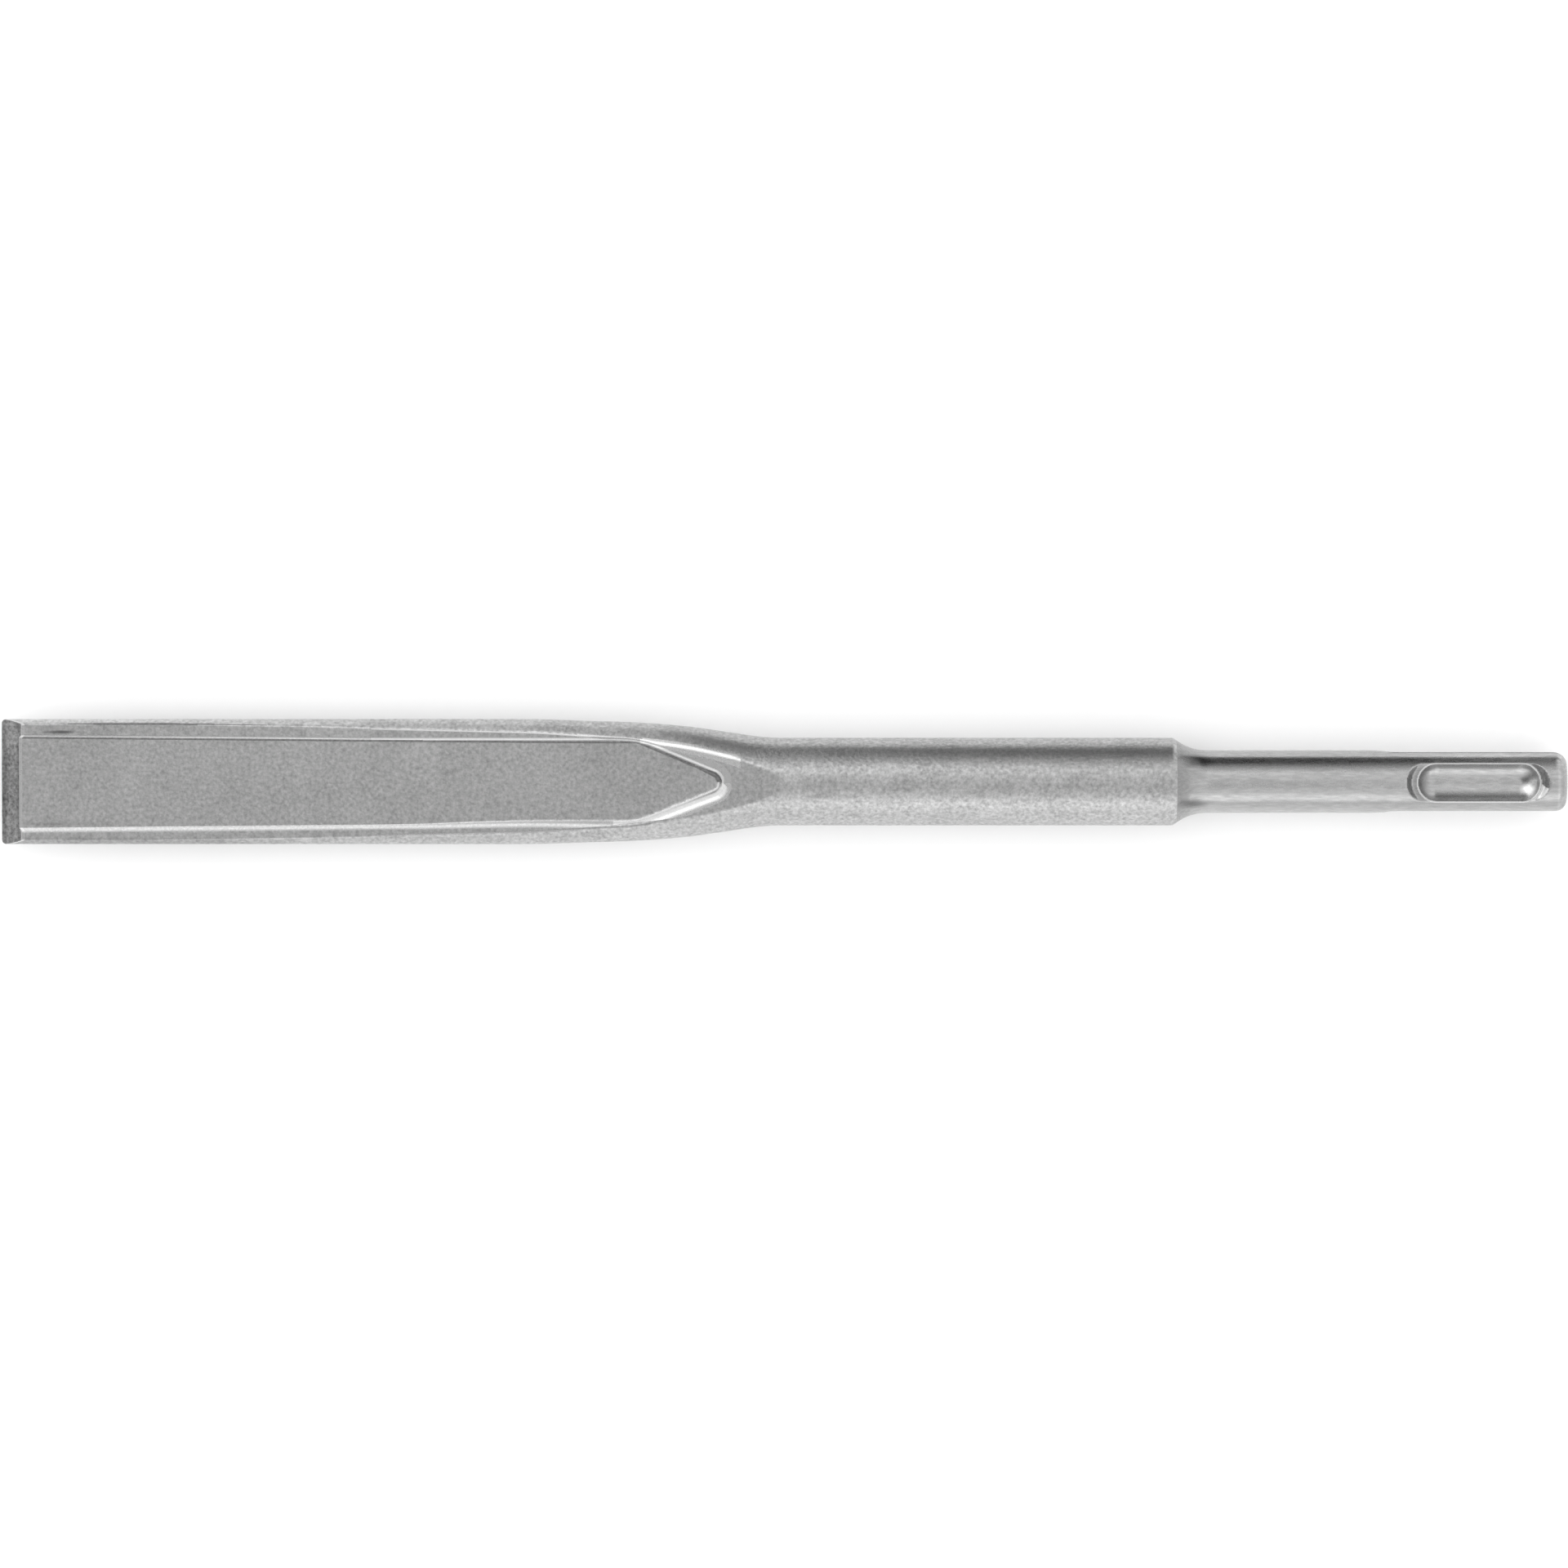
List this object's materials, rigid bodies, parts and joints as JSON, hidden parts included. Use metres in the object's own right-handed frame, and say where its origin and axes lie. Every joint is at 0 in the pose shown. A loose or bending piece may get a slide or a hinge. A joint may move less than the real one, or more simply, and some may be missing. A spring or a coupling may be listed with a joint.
{
  "type": "sds flat chisel",
  "caption": "Flat steel chisel bit for a rotary hammer: long recessed blade with a ground edge, round body and slotted round shank.",
  "frame": {"origin": "centre of the striking face, at the end of the shank", "axes": "+X along the tool's axis, out of the striking face, with the cutting edge at -X; +Y across the blade; +Z out of the upper flat face"},
  "size_m": [0.25, 0.02, 0.014],
  "materials": {
    "forged_steel": "shot-blasted forged tool steel with ground bevels"
  },
  "bodies": {
    "root": {"chisel": "forged_steel"}
  },
  "joints": []
}
